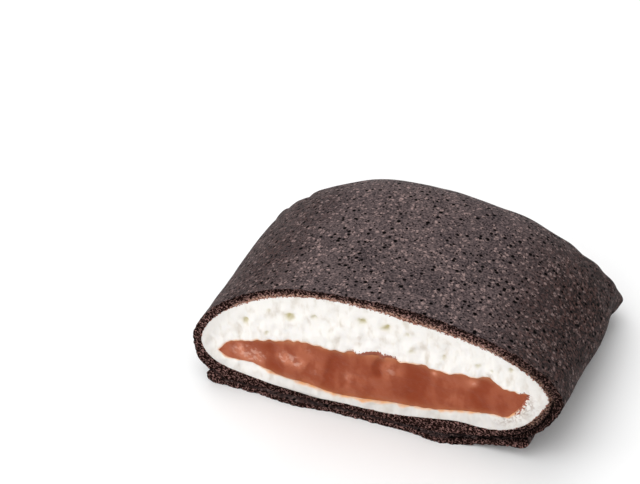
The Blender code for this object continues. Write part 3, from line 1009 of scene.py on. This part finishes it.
pocket = np.array([core_ring(angle) for angle in np.linspace(CORE_CLOSED, POCKET_FIRST, POCKET_ROWS)])
room = grown(np.array([lining_ring(v) for v in CREAM_SHARES]), CREAM_LAP)
face = between(core_ring(0.0), room[0], CREAM_FACE_ROWS)
from_core = np.linalg.norm(face - face[:1], axis=2)
share = np.linspace(0.0, 1.0, CREAM_FACE_ROWS)[:, None]
tall_face = face * np.array(CREAM_TALL)
curds = CREAM_LUMP * lumps(tall_face, CREAM_LUMP_SIZE, seed=1.0)
curds += CREAM_CURD * lumps(tall_face, CREAM_CURD_SIZE, seed=8.0)
uneven_face = face.copy()
uneven_face[:, :, 0] += BUBBLE_UNEVEN * lumps(face, BUBBLE_UNEVEN_SIZE, seed=20.0)
uneven_face[:, :, 2] += BUBBLE_UNEVEN * lumps(face, BUBBLE_UNEVEN_SIZE, seed=30.0)
hollow = np.zeros(face.shape[:2])
for x, z, radius in BUBBLES:
    hollow = np.maximum(hollow, radius * spot(uneven_face, x, z, BUBBLE_SLOPE * radius))
bulge = CREAM_BULGE * (1.0 - (2.0 * share - 1.0) ** 6)
face[:, :, 1] -= bulge + curds * (1.0 - share**4) - BUBBLE_DEPTH * hollow
cream_rows = np.concatenate([[middle_line(pocket[0])], pocket, face, room[1:], [middle_line(room[-1])]])


def face_mark(values):
    """A mark that has its values on the cut face, and 0 elsewhere."""
    mark = np.zeros(cream_rows.shape[:2])
    mark[1 + POCKET_ROWS : 1 + POCKET_ROWS + CREAM_FACE_ROWS] = values
    return mark


face_x, face_z = face[:, :, 0], face[:, :, 2]
from_rim = np.linalg.norm(face - face[-1:], axis=2)
stain = face_mark(fade(from_core, STAIN_WIDTH))
stain[: 1 + POCKET_ROWS] = 1.0
crumby = hill(face_x, CRUMBS_X, CRUMBS_SPREAD) * (face_z > CORE_Z)
crumby = np.maximum(crumby, CRUMBS_RIGHT * step(face_x, *CRUMBS_RIGHT_REACH)) * fade(from_core, CRUMBS_WIDTH)
crumby = np.maximum(crumby, RIM_CRUMBS * fade(from_rim, RIM_CRUMBS_WIDTH))
# Painted shade of the cream: below the chocolate except at its left end, and along the rim, more so towards
# both ends.
under = UNDER_DIM * step(face_z, *UNDER_Z_REACH) * step(face_x, *UNDER_X_REACH)
ends = RIM_DIM + ENDS_DIM * step(np.abs(face_x - ENDS_X), *ENDS_REACH) + LEFT_DIM * step(face_x, *LEFT_REACH)
cream = drape(
    "whipped_cream_filling",
    cream_rows,
    stain=stain,
    hollow=face_mark(hollow),
    crumbs=face_mark(crumby),
    foam=face_mark(fade(near_line(face, FOAM), FOAM_WIDTH)),
    dim=face_mark(np.maximum(under, ends * fade(from_rim, RIM_DIM_WIDTH))),
)
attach(cream, "root")
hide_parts("whipped_cream")

CREAM_WHITE = (0.875, 0.85, 0.815, 1.0)
CREAM_SHADE = (0.66, 0.60, 0.525, 1.0)
CREAM_DIM = (0.66, 0.635, 0.605, 1.0)
BUBBLE_TINT = (0.54, 0.475, 0.25, 1.0)
BROWN_CRUMB = (0.30, 0.075, 0.035, 1.0)
FOAM_GREY = (0.52, 0.455, 0.41, 1.0)
CREAM_CLOUD = 2.0 * MM
SHADE_BAND = (0.48, 0.78)
STAIN_BAND = (0.35, 0.65, 0.6, 1.0)
FOAM_GRAIN = 0.7 * MM
FOAM_BAND = (0.44, 0.62)
CRUMB_GRAIN = 0.45 * MM
CRUMB_BAND = (1.02, 1.14)
CREAM_GRAIN = 0.8 * MM
CREAM_HEIGHT = 0.15

whipped, tree, shader, where = new_material("whipped_cream")
tall = node(tree, "Mapping", {"Vector": where, "Scale": CREAM_TALL}).outputs[0]
shade = band(tree, cloud(tree, tall, CREAM_CLOUD, detail=3.0), *SHADE_BAND)
tone = blend(tree, shade, CREAM_WHITE, CREAM_SHADE)
# Painted shade of the cream.
tone = blend(tree, mark_value(tree, "dim"), tone, CREAM_DIM)
grains = band(tree, cloud(tree, where, FOAM_GRAIN, detail=3.0), *FOAM_BAND)
tone = blend(tree, maths(tree, "MULTIPLY", mark_value(tree, "foam"), grains), tone, FOAM_GREY)
# Painted shade inside the open bubbles.
tone = blend(tree, mark_value(tree, "hollow"), tone, BUBBLE_TINT)
patchy = band(tree, cloud(tree, where, CREAM_CLOUD), *STAIN_BAND)
tone = blend(tree, maths(tree, "MULTIPLY", mark_value(tree, "stain"), patchy), tone, STAIN)
spots = maths(tree, "ADD", mark_value(tree, "crumbs"), cloud(tree, where, CRUMB_GRAIN))
tone = blend(tree, band(tree, spots, *CRUMB_BAND), tone, BROWN_CRUMB)
height = maths(tree, "MULTIPLY", cloud(tree, where, CREAM_GRAIN, detail=3.0), CREAM_HEIGHT)
fill(tree, shader, {
    "Base Color": tone,
    "Roughness": 0.55,
    "Subsurface Weight": 0.35,
    "Subsurface Radius": (1.0, 0.9, 0.75),
    "Subsurface Scale": 1.2 * MM,
    "Normal": relief(tree, height, 0.6),
})
cream.data.materials.append(whipped)

# The table and the light
# A plain white table, a large soft light high behind the crepe, whose reflection greys its skin,
# and wide soft lights above and in front that keep the cream white.

TABLE_HALF = 1.5
TABLE_CLOUD = 60.0 * MM
TABLE_BAND = (0.3, 0.7)
TABLE_DULL = (0.90, 0.90, 0.90, 1.0)
TABLE_WHITE = (0.93, 0.93, 0.93, 1.0)
ROOM_WHITE = (1.0, 1.0, 1.0, 1.0)
ROOM_STRENGTH = 0.55

mesh = bmesh.new()
bmesh.ops.create_grid(mesh, x_segments=1, y_segments=1, size=TABLE_HALF)
table_data = bpy.data.meshes.new("table")
mesh.to_mesh(table_data)
mesh.free()
table = bpy.data.objects.new("table", table_data)
bpy.context.scene.collection.objects.link(table)
paper, tree, shader, where = new_material("white_table")
tone = blend(tree, band(tree, cloud(tree, where, TABLE_CLOUD), *TABLE_BAND), TABLE_DULL, TABLE_WHITE)
fill(tree, shader, {"Base Color": tone, "Roughness": 0.9})
table.data.materials.append(paper)


def soft_light(name, at, size, watts):
    """A round softbox of that diameter in metres, which faces the middle of the table."""
    light = bpy.data.objects.new(name, bpy.data.lights.new(name, "AREA"))
    light.data.shape = "DISK"
    light.data.size = size
    light.data.energy = watts
    light.location = at
    light.rotation_euler = Vector(at).to_track_quat("Z", "Y").to_euler()
    bpy.context.scene.collection.objects.link(light)


soft_light("back_softbox", at=(-0.35, 0.7, 0.8), size=1.4, watts=5.2)
soft_light("front_softbox", at=(-0.25, -0.8, 0.65), size=1.3, watts=4.8)
soft_light("top_softbox", at=(-0.2, -0.2, 1.0), size=1.2, watts=4.0)
world = bpy.data.worlds.new("pale_room")
world.use_nodes = True
fill(world.node_tree, world.node_tree.nodes["Background"], {"Color": ROOM_WHITE, "Strength": ROOM_STRENGTH})
bpy.context.scene.world = world
bpy.context.scene.view_settings.view_transform = "Standard"

# The camera
# It looks down on the cut face from the front right, as in the photograph, with the picture cropped as there.

IMAGE_WIDTH = 640
SENSOR = 36.0
FOCAL_PIXELS = 2354.8
AZIMUTH = math.radians(20.33)
ELEVATION = math.radians(39.0)
DISTANCE = 520.0 * MM
LOOK_AT = Vector((-26.44 * MM, 12.47 * MM, 10.0 * MM))

level = math.cos(ELEVATION)
towards = Vector((math.sin(AZIMUTH) * level, -math.cos(AZIMUTH) * level, math.sin(ELEVATION)))
camera = bpy.data.objects.new("camera", bpy.data.cameras.new("camera"))
camera.data.sensor_width = SENSOR
camera.data.lens = FOCAL_PIXELS / IMAGE_WIDTH * SENSOR
camera.data.clip_start = 0.01
camera.location = LOOK_AT + towards * DISTANCE
camera.rotation_euler = towards.to_track_quat("Z", "Y").to_euler()
bpy.context.scene.collection.objects.link(camera)
bpy.context.scene.camera = camera
